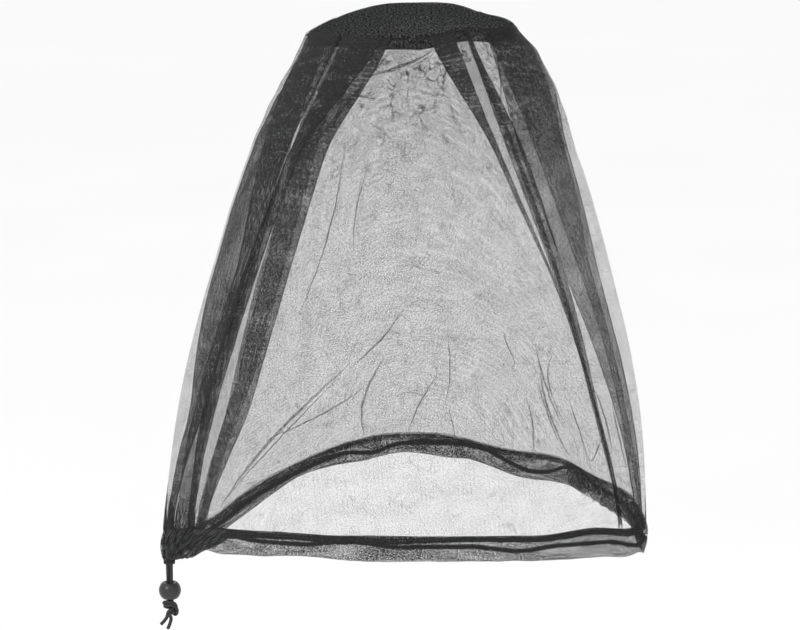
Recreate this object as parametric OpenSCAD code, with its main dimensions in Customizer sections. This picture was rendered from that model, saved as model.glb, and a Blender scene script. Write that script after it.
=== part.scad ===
// Head veil of fine net: a flat crown, a gathered tube of net, and a hem casing
// whose drawcord leaves at one corner through a sliding bead and ends in a knot.
//
// Frame: millimetres, +Z up, +X to the wearer's left, +Y behind the wearer's head.
// The origin is the centre of the crown's underside, where a hat or a head carries it.

/* [Crown] */
// Diameter of the round crown
crown_d = 150; // [130:5:170]
// Thickness of each of the crown's two layers
crown_layer = 0.6; // [0.4:0.1:1]
// Height of the seam allowance that is turned down inside the crown
allowance_h = 9; // [6:1:14]

/* [Net] */
// Width of the veil at its hem
hem_w = 350; // [335:1:370]
// Reach of the hem in front of the crown's centre
hem_front = 80; // [75:5:110]
// Reach of the hem behind the crown's centre
hem_back = 120; // [100:5:140]
// Drop from the crown to the bottom of the hem, at the two corners
drop = 400; // [370:5:420]
// Rise of the hem at the middle of the front, above the corners
front_rise = 18; // [5:1:30]
// How much higher the hem's front is towards its right end than its left
front_skew = 3; // [-10:1:10]
// Rise of the hem at the middle of the back, above the corners
back_rise = 45; // [10:1:50]
// How much higher the hem's back is towards its left end than its right
back_skew = 11; // [-20:1:20]
// How soon the net flares out below the crown
flare = 1.7; // [1.4:0.05:2.2]
// How far the hem hangs to one side of the crown
lean = -9; // [-10:1:10]
// Thickness of the net
net_t = 0.8; // [0.6:0.1:1.2]

/* [Hem] */
// Height of the hem casing, with its turned-in edge
casing_h = 18; // [16:1:22]
// Height of the turned-in edge at the top of the casing
edge_h = 3.5; // [3:0.5:5]
// Width of the casing at its bottom fold
casing_w = 8.4; // [8:0.2:10]
// Half the angle over which the hem is bunched at the cord's corner
bunch_half = 30; // [20:5:35]
// Width of the bunched hem
bunch_w = 13; // [12:0.5:16]

/* [Drawcord] */
// Diameter of the cord
cord_d = 2.6; // [2:0.1:2.8]
// Diameter of the stopper bead
bead_d = 16.4; // [15:0.2:18]
// Height of the stopper bead
bead_h = 12.4; // [11:0.2:13]
// Diameter of the hole through the stopper bead
bead_hole = 6; // [5.8:0.1:6.4]
// Diameter of the knot
knot_d = 11.8; // [11:0.2:13]
// Height of the knot
knot_h = 13.8; // [12:0.2:15]

/* [Hidden] */
$fn = 64;

crown_r = crown_d / 2;
hem_hw = hem_w / 2;
pinch = 0.5;             // how far the oval hem is drawn in to a corner at each side
allowance_t = 0.8;
thread_d = 0.5;
fit_gap = 0.3;           // room between curved faces that lie next to each other

// The hem is bunched from bunch_a to bunch_b at the cord's corner, and more loosely
// from slack_a to slack_b at the other one. Between them it lies open.
bunch_a = 180 - bunch_half;
bunch_b = 180 + bunch_half;
slack_a = -6;
slack_b = 44;
hem_step = 3;
hem_gap = 0.4;           // room between the net and the turned edge below it

// Levels of the net from the crown, 0, to the top of the casing, 1.
levels = [0, 0.06, 0.13, 0.21, 0.3, 0.4, 0.51, 0.63, 0.75, 0.88, 1];
around = 72;

// The join in the net runs down one side of the front to a corner, by angle.
join_top = 299;
join_bottom = 333;
join_w = 4;
join_in = 0.7;           // its two faces, in from the net
join_out = 1.7;

// The cord leaves the hem through a short neck, and swings about a pivot inside it.
exit_x = lean - hem_hw + 1;
exit_r = 3.2;
neck_top = -drop - 1;
neck_h = 3.2;
pivot_z = neck_top - 2.5;
bead_z = -14;            // top of the bead, from the pivot
knot_z = bead_z - bead_h - 0.4;
tail_z = knot_z - knot_h;

// Routes of the cord's two hanging ends, out to the inner side, back and up. The
// strands start at the pivot and end in the knot. The tails start at the knot's foot.
strand_inner = [[1.35, 0, 0], [1.35, 0, -4], [1.4, 0, -9], [1.35, 0, -14],
    [1.35, 0, -19], [1.35, 0, -24], [1.35, 0, knot_z]];
strand_outer = [for (p = strand_inner) [-p[0], p[1], p[2]]];
tail_outer = [[-2.8, 0, 0], [-2.8, 0, -0.6], [-3.8, 0, -2], [-5.4, 0, -4], [-7, 0, -5.6]];
tail_inner = [[0.4, 0, 0], [0.4, 0, -0.6], [0.1, 0, -3], [-0.8, 0, -6], [-2.2, 0, -9]];

net_black = [0.09, 0.09, 0.09];
crown_black = [0.07, 0.07, 0.07];
cord_black = [0.05, 0.05, 0.05];
bead_grey = [0.16, 0.16, 0.16];

// ---- the veil's surface ---------------------------------------------------------

function flared(at_hem, f) =
    crown_r + fit_gap + (at_hem - crown_r - fit_gap) * (1 - pow(1 - f, flare));
function reach(t) = sin(t) > 0 ? hem_back : hem_front;
function skewed(t) = sin(2 * t) * abs(sin(2 * t));
function rise(t) = sin(t) > 0
    ? back_rise * pow(sin(t), 2) + back_skew * skewed(t)
    : front_rise * abs(sin(t)) + front_skew * skewed(t);

// A point of the level curve at f, at angle t around it, out from the cloth by n.
function plan_x(f, t, n) = lean * f * f + (flared(hem_hw, f) + n) * cos(t);
function plan_y(f, t, n) =
    (flared(reach(t), f) + n) * sin(t) * pow(abs(sin(t)), pinch * f);

net_top = crown_layer;
net_bottom = -drop + casing_h + hem_gap;
function net_point(f, t, n) = [
    plan_x(f, t, n),
    plan_y(f, t, n),
    net_top + (net_bottom - net_top) * f + rise(t) * pow(f, 3)
];

// A point of the hem at angle t, out from the cloth by n and up from its fold by h.
function hem_point(t, n, h) = [
    plan_x(1, t, n),
    plan_y(1, t, n),
    -drop + rise(t) + h
];

function angles(a, b) = [for (i = [0 : ceil((b - a) / hem_step)])
    a + (b - a) * i / ceil((b - a) / hem_step)];

// Two triangles between columns j and j + 1 of a ring and the next ring. A ring's
// points run anticlockwise, seen from before the first ring.
function side(i, j, count, first = 0) =
    let (k = (j + 1) % count, a = first + i * count, b = a + count)
    [[a + j, b + k, b + j], [a + j, a + k, b + k]];
function sides(rings, count, first = 0) =
    [for (i = [0 : rings - 2]) for (j = [0 : count - 1]) each side(i, j, count, first)];
function flipped(faces) = [for (f = faces) [f[2], f[1], f[0]]];

// A solid through convex rings of points.
module bar(rings) {
    count = len(rings[0]);
    last = (len(rings) - 1) * count;
    start = [for (j = [1 : count - 2]) [0, j + 1, j]];
    end = [for (j = [1 : count - 2]) [last, last + j, last + j + 1]];
    polyhedron([for (r = rings) each r], concat(sides(len(rings), count), start, end));
}

// A pipe through rings of points, open at both ends, with as many points inside.
module pipe(outer, inner) {
    count = len(outer[0]);
    rings = len(outer);
    within = rings * count;
    last = (rings - 1) * count;
    start = [for (j = [0 : count - 1]) let (k = (j + 1) % count)
        each [[j, within + k, k], [j, within + j, within + k]]];
    end = [for (j = [0 : count - 1])
        let (k = (j + 1) % count, o = last, q = within + last)
        each [[o + j, o + k, q + k], [o + j, q + k, q + j]]];
    polyhedron([for (r = concat(outer, inner)) each r],
        concat(sides(rings, count), flipped(sides(rings, count, within)), start, end));
}

// A solid bar, and a pipe, along the hem. Each profile is a list of [n, h].
module hem_bar(profile, a, b) {
    bar([for (t = angles(a, b)) [for (p = profile) hem_point(t, p[0], p[1])]]);
}

module hem_pipe(outer, inner, a, b) {
    pipe([for (t = angles(a, b)) [for (p = outer) hem_point(t, p[0], p[1])]],
        [for (t = angles(a, b)) [for (p = inner) hem_point(t, p[0], p[1])]]);
}

// A cord along a route that stays in the XZ plane.
module cord_tube(route) {
    last = len(route) - 1;
    function heading(i) =
        let (run = route[min(i + 1, last)] - route[max(i - 1, 0)]) run / norm(run);
    bar([for (i = [0 : last])
        let (across = cross(heading(i), [0, 1, 0]))
        [for (j = [0 : 7]) route[i] + cord_d / 2 * (cos(45 * j) * across + sin(45 * j) * [0, 1, 0])]
    ]);
}

// A regular polygon of count points about [n, h], as a profile for the hem's solids.
function round_profile(n, h, r, count) =
    [for (j = [0 : count - 1]) [n + r * cos(360 * j / count), h + r * sin(360 * j / count)]];

// ---- crown ----------------------------------------------------------------------

allowance_out = crown_r - 0.1;
allowance_in = allowance_out - allowance_t;
lining_r = allowance_in - 2 * thread_d;

module crown_top_layer() {
    color(crown_black)
        translate([0, 0, crown_layer])
            cylinder(r = crown_r + fit_gap + net_t + 0.1, h = crown_layer, $fn = 128);
}

module crown_lining() {
    color(crown_black)
        cylinder(r = lining_r, h = crown_layer, $fn = 128);
}

module crown_seam_allowance() {
    color(crown_black)
        translate([0, 0, -allowance_h])
            difference() {
                cylinder(r = allowance_out, h = allowance_h + crown_layer, $fn = 128);
                translate([0, 0, -1])
                    cylinder(r = allowance_in, h = allowance_h + crown_layer + 2, $fn = 128);
            }
}

module crown_seam_thread() {
    color(cord_black)
        translate([0, 0, -1.5])
            rotate_extrude($fn = 128)
                translate([allowance_in - thread_d / 2 - 0.1, 0])
                    circle(d = thread_d, $fn = 16);
}

// ---- net ------------------------------------------------------------------------

module veil_net() {
    ts = [for (j = [0 : around - 1]) j * 360 / around];
    color(net_black)
        pipe([for (f = levels) [for (t = ts) net_point(f, t, net_t)]],
            [for (f = levels) [for (t = ts) net_point(f, t, 0)]]);
}

// The two edges of the net's width, joined in one strip inside the net.
module net_join_seam() {
    strip = [for (f = levels) if (f > 0.05) f];
    function turn(f) = join_top + (join_bottom - join_top) * f;
    function half_turn(f) = join_w / 2 / flared(hem_hw, f) * 180 / PI;
    color(crown_black)
        bar([for (f = strip) [
            net_point(f, turn(f) + half_turn(f), -join_out),
            net_point(f, turn(f) - half_turn(f), -join_out),
            net_point(f, turn(f) - half_turn(f), -join_in),
            net_point(f, turn(f) + half_turn(f), -join_in)
        ]]);
}

// ---- hem ------------------------------------------------------------------------

casing_top = casing_h - edge_h;
half_w = casing_w / 2;
wall = 0.8;
casing_outer = [[-half_w, 0], [half_w, 0], [1.1, casing_top], [-1.1, casing_top]];
casing_inner = [[-half_w + wall, wall], [half_w - wall, wall],
    [0.9, casing_top - 1.5], [-0.9, casing_top - 1.5]];
edge_foot = casing_top + 0.1;
edge_profile = [[-1.1, edge_foot], [1.1, edge_foot], [0.9, casing_h], [-0.9, casing_h]];
stitch_profile = round_profile(1.55, casing_h - edge_h / 2, thread_d / 2, 8);

// The bunch is a fat octagon with the cord's channel through it.
half_b = bunch_w / 2;
bunch_outer = [[half_b, 12], [3, casing_h], [-3, casing_h], [-half_b, 12],
    [-half_b, 3], [-4.5, neck_top + drop], [4.5, neck_top + drop], [half_b, 3]];
slack_outer = [[5.5, 12], [2, casing_h], [-2, casing_h], [-5.5, 12],
    [-5.5, 3], [-4, 0], [4, 0], [5.5, 3]];
cord_h = 5.5;            // height of the cord above the fold of the hem
cord_wave = 2;           // how far it wanders up and down in the open casing
channel = round_profile(0, cord_h, cord_d / 2 + 0.5, 8);
channel_turned = [for (j = [0 : 7]) channel[(j + 1) % 8]];

module hem_casing_front() {
    color(net_black)
        hem_pipe(casing_outer, casing_inner, bunch_b, 360 + slack_a);
}

module hem_casing_back() {
    color(net_black)
        hem_pipe(casing_outer, casing_inner, slack_b, bunch_a);
}

module hem_turned_edge() {
    color(crown_black) {
        hem_bar(edge_profile, bunch_b, 360 + slack_a);
        hem_bar(edge_profile, slack_b, bunch_a);
    }
}

module hem_stitching() {
    color(cord_black) {
        hem_bar(stitch_profile, bunch_b, 360 + slack_a);
        hem_bar(stitch_profile, slack_b, bunch_a);
    }
}

module gather_left() {
    color(net_black)
        difference() {
            hem_pipe(bunch_outer, channel_turned, bunch_a, bunch_b);
            translate([exit_x, 0, neck_top - 1])
                cylinder(r = exit_r, h = cord_h - neck_top - drop + 1 + exit_r);
        }
}

module gather_right() {
    color(net_black)
        hem_pipe(slack_outer, channel_turned, slack_a, slack_b);
}

// ---- drawcord -------------------------------------------------------------------

// The cord wanders only where the casing lies open.
function wander(t) =
    t > slack_b && t < bunch_a ? cord_wave * sin(180 * (t - slack_b) / (bunch_a - slack_b) * 5)
    : t > bunch_b && t < 360 + slack_a ?
        cord_wave * sin(180 * (t - bunch_b) / (360 + slack_a - bunch_b) * 5)
    : 0;

loop_gap = 6;            // angle from the exit to each end of the loop in the hem
loop_step = 4.6;

// The loop in the hem, and its two ends turned down through the exit.
module drawcord_loop() {
    turns = ceil((360 - 2 * loop_gap) / loop_step);
    ts = [for (i = [0 : turns]) (180 + loop_gap + (360 - 2 * loop_gap) * i / turns) % 360];
    color(cord_black) {
        bar([for (t = ts)
            [for (p = round_profile(0, cord_h + wander(t), cord_d / 2, 8)) hem_point(t, p[0], p[1])]
        ]);
        for (start = [strand_outer[0], strand_inner[0]])
            translate([exit_x + start[0], 0, neck_top])
                cylinder(d = cord_d, h = cord_h + cord_d / 2 - drop - neck_top, $fn = 32);
    }
}

// The net is drawn into a short neck where the two ends of the cord leave it.
module cord_exit_neck() {
    foot = neck_top - neck_h;
    color(net_black)
        translate([exit_x, 0, foot])
            rotate_extrude()
                polygon([[4, 0], [4.8, 0], [5.6, neck_h], [3.4, neck_h], [3.4, 1]]);
}

module at_pivot(z = 0) {
    translate([exit_x, 0, pivot_z + z])
        children();
}

module cord_strand_outer() {
    color(cord_black)
        at_pivot()
            cord_tube(strand_outer);
}

module cord_strand_inner() {
    color(cord_black)
        at_pivot()
            cord_tube(strand_inner);
}

module stopper_bead() {
    color(bead_grey)
        at_pivot(bead_z - bead_h / 2)
            difference() {
                intersection() {
                    sphere(d = bead_d, $fn = 96);
                    cylinder(d = bead_d + 2, h = bead_h, center = true);
                }
                cylinder(d = bead_hole, h = bead_h + 2, center = true);
            }
}

module end_knot() {
    waist = knot_h / 4;
    color(cord_black)
        at_pivot(tail_z)
            rotate_extrude()
                polygon([[0, 0], [4.4, 0], [knot_d / 2, waist], [knot_d / 2, knot_h - waist],
                    [4.4, knot_h], [0, knot_h]]);
}

module cord_tail_outer() {
    color(cord_black)
        at_pivot(tail_z)
            cord_tube(tail_outer);
}

module cord_tail_inner() {
    color(cord_black)
        at_pivot(tail_z)
            cord_tube(tail_inner);
}

crown_top_layer();
crown_lining();
crown_seam_allowance();
crown_seam_thread();
veil_net();
net_join_seam();
hem_casing_front();
hem_casing_back();
hem_turned_edge();
hem_stitching();
gather_left();
gather_right();
drawcord_loop();
cord_exit_neck();
cord_strand_outer();
cord_strand_inner();
stopper_bead();
end_knot();
cord_tail_outer();
cord_tail_inner();
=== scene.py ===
"""A black net veil: a doubled round crown, a pleated tube of net and a hem casing, whose
drawcord leaves at one corner through a bead and a knot.

Metres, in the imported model's frame: +Z up, -Y the front, +X the wearer's left.
"""
import math

import bmesh
import bpy
import numpy as np
from mathutils import Matrix, Vector, noise


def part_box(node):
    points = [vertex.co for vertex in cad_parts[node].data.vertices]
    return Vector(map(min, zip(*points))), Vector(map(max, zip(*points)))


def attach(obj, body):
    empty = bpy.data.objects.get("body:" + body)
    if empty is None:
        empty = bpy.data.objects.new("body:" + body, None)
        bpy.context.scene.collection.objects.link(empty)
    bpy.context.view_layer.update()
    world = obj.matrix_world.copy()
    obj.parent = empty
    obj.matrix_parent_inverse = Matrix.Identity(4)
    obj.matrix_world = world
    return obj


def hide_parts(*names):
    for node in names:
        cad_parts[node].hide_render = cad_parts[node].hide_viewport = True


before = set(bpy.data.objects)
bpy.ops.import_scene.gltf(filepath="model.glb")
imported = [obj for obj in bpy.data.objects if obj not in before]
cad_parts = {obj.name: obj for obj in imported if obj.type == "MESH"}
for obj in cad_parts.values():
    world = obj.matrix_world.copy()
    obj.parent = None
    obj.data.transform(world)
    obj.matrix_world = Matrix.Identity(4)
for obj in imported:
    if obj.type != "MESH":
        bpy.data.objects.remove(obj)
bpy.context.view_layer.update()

MM = 0.001

# ---- sizes, from the frame

net_low, net_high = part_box("veil_net")
NET_T = 0.8 * MM
LEAN = (net_low.x + net_high.x) / 2
HEM_HW = (net_high.x - net_low.x) / 2 - NET_T
HEM_FRONT = -net_low.y - NET_T
HEM_BACK = net_high.y - NET_T
NET_TOP = net_high.z
NET_BOTTOM = net_low.z
CROWN_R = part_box("crown_top_layer")[1].x - 1.2 * MM
ALLOWANCE_H = -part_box("crown_seam_allowance")[0].z
CASING_H = 18 * MM
DROP = CASING_H + 0.4 * MM - NET_BOTTOM
FRONT_RISE, FRONT_SKEW = 18 * MM, 3 * MM
BACK_RISE, BACK_SKEW = 45 * MM, 11 * MM
FLARE = 1.7
PINCH = 0.5

# ---- the camera

CAMERA_AT = Vector((0.0, -3.5, 0.57))
CAMERA_AIM = Vector((-0.0108, 0.0, -0.2177))
LENS = 221.6
ROLL = math.radians(-0.7)


def make_camera():
    data = bpy.data.cameras.new("camera")
    data.lens = LENS
    data.sensor_width = 36
    data.clip_end = 60
    camera = bpy.data.objects.new("camera", data)
    bpy.context.scene.collection.objects.link(camera)
    look = (CAMERA_AIM - CAMERA_AT).to_track_quat("-Z", "Y").to_matrix().to_4x4()
    camera.matrix_world = Matrix.Translation(CAMERA_AT) @ look @ Matrix.Rotation(ROLL, 4, "Z")
    bpy.context.scene.camera = camera


make_camera()

# ---- node materials


class Nodes:
    """A short way to write a material's node tree."""

    def __init__(self, name, colour, roughness, specular):
        self.material = bpy.data.materials.new(name)
        self.material.use_nodes = True
        self.tree = self.material.node_tree
        self.shader = self.tree.nodes["Principled BSDF"]
        self.set("Base Color", (*colour, 1))
        self.set("Roughness", roughness)
        self.set("Specular IOR Level", specular)

    def set(self, socket, value):
        self.shader.inputs[socket].default_value = value

    def link(self, source, target):
        self.tree.links.new(source, target)

    def node(self, kind, **settings):
        made = self.tree.nodes.new(kind)
        for key, value in settings.items():
            setattr(made, key, value)
        return made

    def math(self, operation, a, b=None, c=None):
        made = self.node("ShaderNodeMath", operation=operation)
        for socket, value in zip(made.inputs, (a, b, c)):
            if value is None:
                continue
            if isinstance(value, (int, float)):
                socket.default_value = value
            else:
                self.link(value, socket)
        return made.outputs[0]

    def attribute(self, name):
        return self.node("ShaderNodeAttribute", attribute_name=name).outputs["Fac"]

    def noise(self, vector, scale, detail, output="Fac"):
        made = self.node("ShaderNodeTexNoise")
        made.inputs["Scale"].default_value = scale
        made.inputs["Detail"].default_value = detail
        self.link(vector, made.inputs["Vector"])
        return made.outputs[output]

    def shaken(self, vector, scale, detail, amount):
        """The vector, shifted across by noise."""
        made = self.node("ShaderNodeVectorMath", operation="MULTIPLY_ADD")
        self.link(self.noise(vector, scale, detail, "Color"), made.inputs[0])
        made.inputs[1].default_value = (amount, amount, 0)
        self.link(vector, made.inputs[2])
        return made.outputs[0]

    def remap(self, value, low, high, to_low, to_high):
        made = self.node("ShaderNodeMapRange")
        self.link(value, made.inputs["Value"])
        for socket, given in zip(list(made.inputs)[1:5], (low, high, to_low, to_high)):
            if isinstance(given, (int, float)):
                socket.default_value = given
            else:
                self.link(given, socket)
        return made.outputs[0]

    def colours(self, factor, first, second):
        # A colour mix takes its colours on sockets 6 and 7 and gives its result on 2.
        made = self.node("ShaderNodeMix", data_type="RGBA")
        self.link(factor, made.inputs["Factor"])
        made.inputs[6].default_value = (*first, 1)
        made.inputs[7].default_value = (*second, 1)
        self.link(made.outputs[2], self.shader.inputs["Base Color"])

    def bump(self, height, distance, strength):
        made = self.node("ShaderNodeBump")
        made.inputs["Distance"].default_value = distance
        made.inputs["Strength"].default_value = strength
        self.link(height, made.inputs["Height"])
        self.link(made.outputs[0], self.shader.inputs["Normal"])


# From hole to hole, and how soft the holes' edges are. The noises' scales below are in lumps
# for each metre of cloth.
NET_PITCH = 0.95 * MM
WEAVE_EDGE = 0.12


def crumple_lines(m, uv):
    """Fine broken creases where the net is crumpled, as strong as the mesh attribute
    "crumple" says, and none on a mesh without it."""
    cells = m.node("ShaderNodeTexVoronoi", feature="DISTANCE_TO_EDGE")
    cells.inputs["Scale"].default_value = 62
    m.link(m.shaken(uv, 90, 3, 16 * MM), cells.inputs["Vector"])
    line = m.remap(cells.outputs["Distance"], 0.0, 0.055, 1.0, 0.0)
    broken = m.remap(m.noise(uv, 55, 2), 0.47, 0.64, 0.0, 2.0)
    return m.math("MULTIPLY", m.math("MULTIPLY", line, broken), m.attribute("crumple"))


def net_material(name, colour, glint_colour, grain_scale=1300, grain=2.6, specular=0.12,
                 streak=1.0):
    """Net of six-sided holes, knitted in the cloth's own UV metres. The mesh attribute
    "weave" says how far the threads close the holes, from -1.5, open, to 3, closed. The
    grain is how unevenly they do so. The speck is a painted highlight: a lighter colour mixed
    into the base colour where the yarns would catch the light, in streaks along the folds
    where streak is under 1."""
    m = Nodes(name, colour, 0.8, specular)
    uv = m.node("ShaderNodeUVMap", uv_map="cloth").outputs[0]
    place = m.node("ShaderNodeSeparateXYZ")
    m.link(m.shaken(uv, 900, 1, 0.8 * MM), place.inputs[0])
    turn = 2 * math.pi / NET_PITCH
    across = m.math("MULTIPLY", place.outputs[0], turn)
    half = m.math("MULTIPLY", place.outputs[0], -turn / 2)
    along = m.math("MULTIPLY", place.outputs[1], turn * math.sqrt(3) / 2)
    waves = [across, m.math("ADD", half, along), m.math("SUBTRACT", half, along)]
    first, second, third = [m.math("COSINE", wave) for wave in waves]
    holes = m.math("ADD", m.math("ADD", first, second), third)
    patches = m.math("MULTIPLY_ADD", m.noise(uv, 60, 3), 0.5, -0.25)
    uneven = m.math("MULTIPLY_ADD", m.noise(uv, grain_scale, 2), grain, -grain / 2)
    drawn = m.node("ShaderNodeVectorMath", operation="MULTIPLY")
    m.link(uv, drawn.inputs[0])
    drawn.inputs[1].default_value = (streak, streak * streak, 1)
    # Painted highlight: the base colour runs from colour to speck in noisy streaks, where the
    # yarns would catch the light.
    m.colours(m.remap(m.noise(drawn.outputs[0], 1100, 2), 0.42, 0.66, 0.0, 1.0), colour, glint_colour)
    weave = m.math("ADD", m.attribute("weave"), m.math("ADD", patches, uneven))
    weave = m.math("ADD", weave, crumple_lines(m, uv))
    opens, closes = (m.math(way, weave, WEAVE_EDGE) for way in ("SUBTRACT", "ADD"))
    m.link(m.remap(holes, opens, closes, 1.0, 0.0), m.shader.inputs["Alpha"])
    m.bump(m.math("MULTIPLY", holes, -0.1), 0.4 * MM, 0.5)
    return m.material


def cord_material():
    """Black braid: the fine yarns run in two directions over the braid's own ridges, with painted
    shade in the grooves between them.
    """
    m = Nodes("cord_braid", (0.02, 0.02, 0.021), 0.62, 0.35)
    uv = m.node("ShaderNodeUVMap", uv_map="cloth").outputs[0]
    place = m.node("ShaderNodeSeparateXYZ")
    m.link(uv, place.inputs[0])
    along = m.math("MULTIPLY", place.outputs[0], 2 * math.pi / (0.9 * MM))
    around = m.math("MULTIPLY", place.outputs[1], 2 * math.pi * 5)
    one = m.math("SINE", m.math("ADD", along, around))
    other = m.math("SINE", m.math("SUBTRACT", along, around))
    yarns = m.math("MAXIMUM", one, other)
    # Painted shade: the colour is darkest where the ridges' height is lowest, in the grooves, and
    # lightest on the yarns' tops.
    m.colours(m.remap(yarns, -1.0, 1.0, 0.0, 1.0), (0.006, 0.006, 0.006), (0.035, 0.035, 0.036))
    m.bump(yarns, 0.15 * MM, 0.7)
    return m.material


def grained(name, roughness, specular, first, second, scale, detail, bump=0.0):
    """A material whose grey runs from first to second with a noise in object space."""
    m = Nodes(name, (first,) * 3, roughness, specular)
    grain = m.noise(m.node("ShaderNodeTexCoord").outputs["Object"], scale, detail)
    m.colours(grain, (first,) * 3, (second,) * 3)
    if bump:
        m.bump(grain, bump, 0.3)
    return m.material


# Each net's second colour is its painted highlight; the crown's net has no specular, so its sheen
# is all painted.
NET = net_material("net", (0.017, 0.017, 0.018), (0.055, 0.055, 0.056))
NET_HEM = net_material("net_hem", (0.012, 0.012, 0.013), (0.05, 0.05, 0.05), 900, 7.0)
NET_DENSE = net_material("net_gathered", (0.014, 0.014, 0.015), (0.045, 0.045, 0.046))
NET_BUNCHED = net_material("net_bunched", (0.012, 0.013, 0.014), (0.11, 0.11, 0.11), 900, 4.0,
                           streak=0.4)
CROWN_NET = net_material("net_crown", (0.004, 0.0045, 0.0045), (0.095, 0.097, 0.097),
                         specular=0.0, streak=0.6)
CORD = cord_material()
BEAD = grained("bead_satin", 0.3, 0.35, 0.02, 0.036, 900, 3, bump=0.04 * MM)
THREAD = grained("sewing_thread", 0.6, 0.3, 0.01, 0.03, 4000, 1)
FLOOR = grained("pale_floor", 0.9, 0.0, 0.93, 0.96, 3, 1)


def sorted_pattern():
    """The holes' pattern over one repeat of the net, from its lowest value to its highest."""
    phase = np.linspace(0, 2 * np.pi, 200, endpoint=False)
    one, other = np.meshgrid(phase, phase)
    return np.sort((np.cos(one) + np.cos(other) + np.cos(one + other)).ravel())


PATTERN = sorted_pattern()


def weave_of(cover):
    """The pattern's value under which this share of the cloth lies."""
    return np.interp(cover, np.linspace(0, 1, PATTERN.size), PATTERN)


# ---- meshes


def link_mesh(name, points, faces, material):
    mesh = bpy.data.meshes.new(name)
    mesh.from_pydata(np.asarray(points).reshape(-1, 3).tolist(), [], faces)
    mesh.materials.append(material)
    mesh.shade_smooth()
    made = bpy.data.objects.new(name, mesh)
    bpy.context.scene.collection.objects.link(made)
    return made


def give_attribute(made, name, values):
    """Each point's value of a mesh attribute, which the materials read."""
    layer = made.data.attributes.new(name, "FLOAT", "POINT")
    layer.data.foreach_set("value", np.asarray(values, np.float32).ravel())


def give_uv(made, corners):
    """The cloth's own metres at each corner of each face."""
    layer = made.data.uv_layers.new(name="cloth")
    layer.data.foreach_set("uv", np.asarray(corners, np.float32).ravel())


def grid(name, points, uv, material, cover=None, wrap=False, uv_right=None):
    """A sheet through rows of points. uv has a column more than points where it wraps,
    unless uv_right gives the right side of every column."""
    rows, columns = points.shape[:2]
    index = np.arange(rows * columns).reshape(rows, columns)
    right = np.roll(index, -1, 1) if wrap else index[:, 1:]
    left = index if wrap else index[:, :-1]
    faces = np.stack([left[1:], right[1:], right[:-1], left[:-1]], -1).reshape(-1, 4)
    made = link_mesh(name, points, faces.tolist(), material)
    uv_left, uv_right = (uv[:, :-1], uv[:, 1:]) if uv_right is None else (uv, uv_right)
    corners = np.stack([uv_left[1:], uv_right[1:], uv_right[:-1], uv_left[:-1]], 2)
    give_uv(made, corners)
    if cover is not None:
        give_attribute(made, "weave", weave_of(cover))
    return made


def place_on(piece, body, slot, *nodes):
    """Hang the piece on its body and hide the CAD nodes that it stands for. The slot is not used.
    """
    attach(piece, body)
    if nodes:
        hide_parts(*nodes)
    return piece


def spline(points, step):
    """Points a step apart along a smooth curve through the given ones."""
    p = np.array(points, float)
    p = np.vstack([2 * p[0] - p[1], p, 2 * p[-1] - p[-2]])
    fine = []
    for a, b, c, d in zip(p, p[1:], p[2:], p[3:]):
        t = np.linspace(0, 1, 24, endpoint=False)[:, None]
        fine.append(0.5 * (2 * b + (c - a) * t + (2 * a - 5 * b + 4 * c - d) * t**2
                           + (3 * b - a - 3 * c + d) * t**3))
    fine = np.vstack([*fine, p[-2][None]])
    far = run_of(fine)
    even = np.linspace(0, far[-1], max(int(far[-1] / step), 2) + 1)
    return np.stack([np.interp(even, far, fine[:, i]) for i in range(3)], 1)


def unit(vectors):
    return vectors / np.linalg.norm(vectors, axis=-1)[..., None]


def run_of(line):
    """How far along the line each of its points lies."""
    return np.concatenate([[0], np.cumsum(np.linalg.norm(np.diff(line, axis=0), axis=1))])


def eased(line):
    """The line with its tightest turns opened out, and its two ends kept."""
    reach = 5
    window = np.hanning(2 * reach + 3)[1:-1]
    before = 2 * line[0] - line[reach:0:-1]
    after = 2 * line[-1] - line[-2:-reach - 2:-1]
    padded = np.vstack([before, line, after])
    return np.stack([np.convolve(padded[:, i], window / window.sum(), "valid")
                     for i in range(3)], 1)


def tube(name, line, radius, material, sides=20, ridge=0.0, pitch=1.0, closed=False):
    """A round mesh along a line, with braid ridges, and rounded ends unless it closes."""
    ends = np.roll(line, -1, 0) - np.roll(line, 1, 0)
    if not closed:
        ends[0], ends[-1] = line[1] - line[0], line[-1] - line[-2]
    heading = unit(ends)
    side = np.cross(heading[0], (0.3, 0.9, 0.2))
    sides_at = []
    for h in heading:
        side = unit(side - h * side.dot(h))
        sides_at.append(side)
    sides_at = np.array(sides_at)
    ups = np.cross(heading, sides_at)
    far = run_of(line)
    angle = np.linspace(0, 2 * math.pi, sides, endpoint=False)[None]
    turn = 2 * math.pi * far[:, None] / pitch
    braid = np.maximum(np.abs(np.sin(2 * angle + turn)), np.abs(np.sin(2 * angle - turn)))
    r = radius + ridge * (braid - 1)
    points = (line[:, None] + (r * np.cos(angle))[..., None] * sides_at[:, None]
              + (r * np.sin(angle))[..., None] * ups[:, None])
    u = np.repeat(far[:, None], sides + 1, 1)
    v = np.repeat(np.linspace(0, 1, sides + 1)[None], len(line), 0)
    if closed:
        points = np.concatenate([points, points[:1]])
        step = np.linalg.norm(line[0] - line[-1])
        u = np.concatenate([u, u[-1:] + step])
        v = np.concatenate([v, v[:1]])
    else:
        for end, out in ((0, -1), (-1, 1)):
            cap = line[end] + out * heading[end] * radius * 0.5
            shrunk = line[end] + (points[end] - line[end]) * 0.75 + (cap - line[end]) * 0.6
            tip = np.repeat(cap[None], sides, 0)
            extra = np.stack([shrunk, tip] if end else [tip, shrunk])
            points = np.concatenate([points, extra] if end else [extra, points])
            more = np.repeat(u[end][None], 2, 0)
            u = np.concatenate([u, more] if end else [more, u])
            v = np.concatenate([v, v[:2]])
    return grid(name, points, np.stack([u, v], -1), material, wrap=True)


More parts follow.
